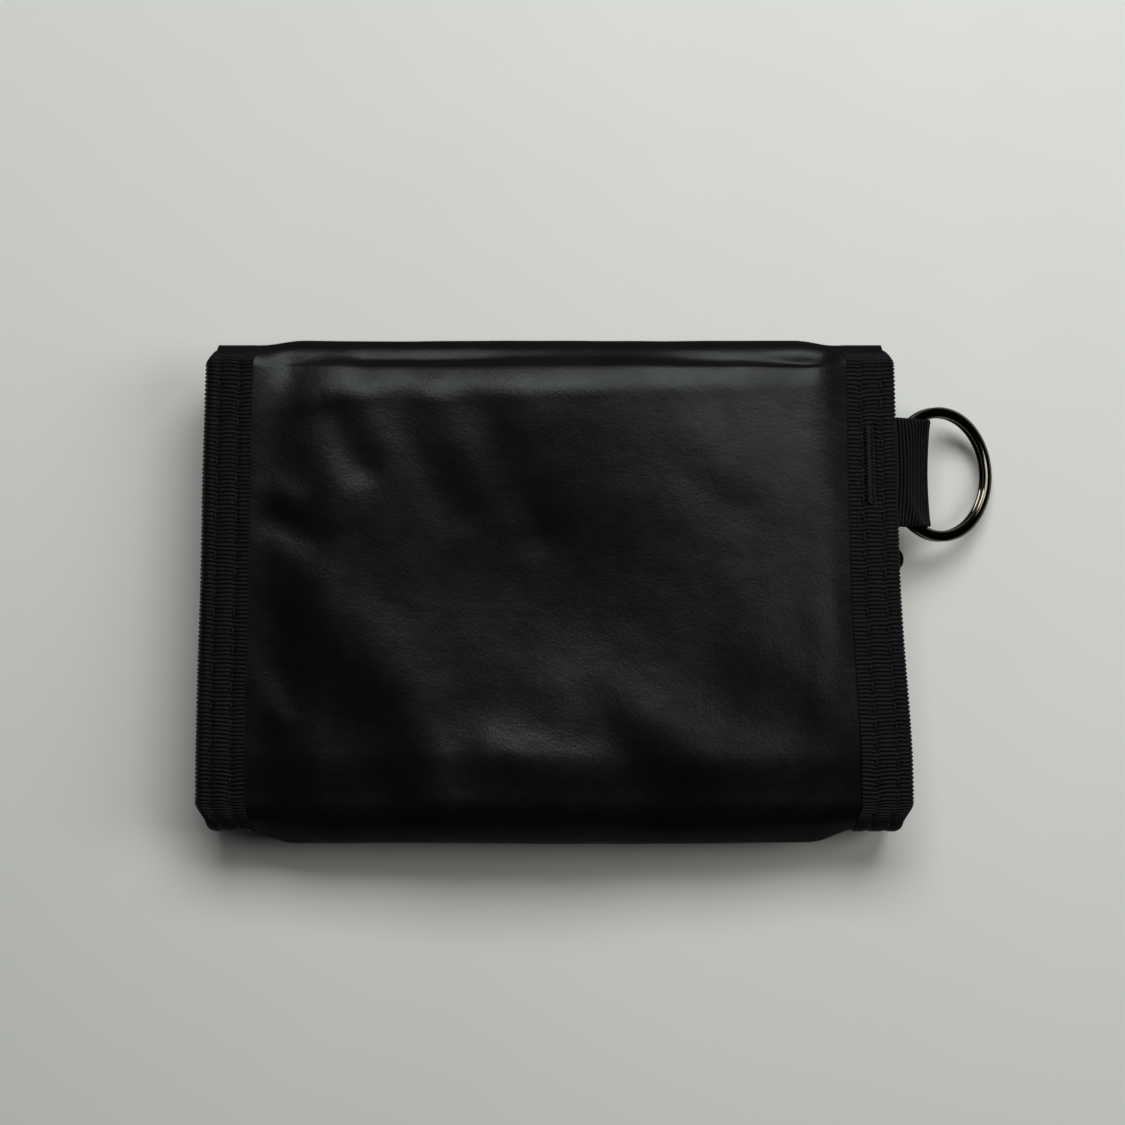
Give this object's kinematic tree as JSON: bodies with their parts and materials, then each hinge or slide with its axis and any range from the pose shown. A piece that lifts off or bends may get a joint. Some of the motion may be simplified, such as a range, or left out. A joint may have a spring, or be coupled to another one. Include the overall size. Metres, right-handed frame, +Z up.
{
  "type": "trifold wallet",
  "caption": "Fabric trifold wallet with banknote compartment, card slots, window pocket, zipped coin pocket and a split ring on a webbing loop.",
  "frame": {"origin": "centre of the outer flap's outside face, on which the closed wallet lies", "axes": "+X towards the wallet's top edge, with the banknote mouth and the key ring; +Y towards the inner flap's fold; +Z up, out of the middle panel's outside face"},
  "size_m": [0.1466, 0.0905, 0.0207],
  "materials": {
    "coated_fabric": "black coated woven fabric, satin",
    "lining_fabric": "black woven lining, matte",
    "grosgrain": "black ribbed binding tape",
    "webbing": "black ribbed webbing",
    "zip_nylon": "black nylon coil",
    "hook_and_loop": "black hook and loop pile",
    "clear_vinyl": "clear soft sheet",
    "black_nickel": "black nickel plated steel and zinc",
    "thread": "black bonded thread"
  },
  "bodies": {
    "outer_flap": {"outer_flap_shell": "coated_fabric", "outer_flap_lining": "lining_fabric", "outer_flap_top_binding": "grosgrain", "outer_flap_pocket_binding": "grosgrain", "outer_flap_bottom_binding": "grosgrain", "outer_flap_end_binding": "grosgrain", "coin_pocket_panel_a": "lining_fabric", "coin_pocket_panel_b": "lining_fabric", "zipper_tape_a": "lining_fabric", "zipper_tape_b": "lining_fabric", "zipper_coil_a": "zip_nylon", "zipper_coil_b": "zip_nylon", "zipper_top_stop": "black_nickel", "zipper_bottom_stop": "black_nickel", "hook_patch": "hook_and_loop"},
    "outer_fold": {"outer_fold_shell": "coated_fabric", "outer_fold_lining": "lining_fabric", "outer_fold_top_binding": "grosgrain", "outer_fold_lining_binding": "grosgrain", "outer_fold_bottom_binding": "grosgrain"},
    "middle_panel": {"middle_shell": "coated_fabric", "middle_lining": "lining_fabric", "card_slot_1": "lining_fabric", "card_slot_2": "lining_fabric", "card_slot_3": "lining_fabric", "middle_top_binding": "grosgrain", "middle_pocket_binding": "grosgrain", "middle_bottom_binding": "grosgrain", "key_loop_bartack": "thread"},
    "inner_fold": {"inner_fold_shell": "coated_fabric", "inner_fold_lining": "lining_fabric", "inner_fold_top_binding": "grosgrain", "inner_fold_lining_binding": "grosgrain", "inner_fold_bottom_binding": "grosgrain"},
    "inner_flap": {"inner_flap_shell": "coated_fabric", "inner_flap_lining": "lining_fabric", "id_window": "clear_vinyl", "id_window_frame": "lining_fabric", "loop_patch": "hook_and_loop", "inner_flap_top_binding": "grosgrain", "inner_flap_pocket_binding": "grosgrain", "inner_flap_bottom_binding": "grosgrain", "inner_flap_end_binding": "grosgrain"},
    "zip_slider": {"zipper_slider_body": "black_nickel"},
    "zip_pull": {"zipper_pull_tab": "black_nickel"},
    "key_loop": {"key_loop_webbing": "webbing"},
    "key_ring": {"key_ring": "black_nickel"}
  },
  "joints": [
    {"name": "outer_fold_lower", "type": "hinge", "parent": "outer_flap", "child": "outer_fold", "pos_m": [0, -0.0435, 0.0015], "axis": [1, 0, 0], "range_deg": [0, 90]},
    {"name": "outer_fold_upper", "type": "hinge", "parent": "outer_fold", "child": "middle_panel", "pos_m": [0, -0.0435, 0.0185], "axis": [1, 0, 0], "range_deg": [0, 90]},
    {"name": "inner_fold_upper", "type": "hinge", "parent": "middle_panel", "child": "inner_fold", "pos_m": [0, 0.04431, 0.01881], "axis": [1, 0, 0], "range_deg": [0, 45]},
    {"name": "inner_fold_lower", "type": "hinge", "parent": "inner_fold", "child": "inner_flap", "pos_m": [0, 0.04431, 0.01009], "axis": [1, 0, 0], "range_deg": [0, 45]},
    {"name": "zip_slide", "type": "slide", "parent": "outer_flap", "child": "zip_slider", "axis": [-1, 0, 0], "range_m": [0, 0.078]},
    {"name": "zip_pull_swing", "type": "hinge", "parent": "zip_slider", "child": "zip_pull", "pos_m": [0.0436, 0.0056, 0.0075], "axis": [0, 0, 1], "range_deg": [-20, 20]},
    {"name": "key_loop_bend", "type": "hinge", "parent": "middle_panel", "child": "key_loop", "pos_m": [0.0633, 0.0212, 0.0166], "axis": [0, -1, 0], "range_deg": [0, 60]},
    {"name": "key_ring_spin", "type": "hinge", "parent": "key_loop", "child": "key_ring", "pos_m": [0.0718, 0.0212, 0.0081], "axis": [0.5446, 0, 0.8387], "continuous": true}
  ],
  "couplings": [
    {"joint": "outer_fold_upper", "follows": "outer_fold_lower", "ratio": 1},
    {"joint": "inner_fold_upper", "follows": "outer_fold_lower", "ratio": 0.5},
    {"joint": "inner_fold_lower", "follows": "outer_fold_lower", "ratio": 0.5}
  ]
}
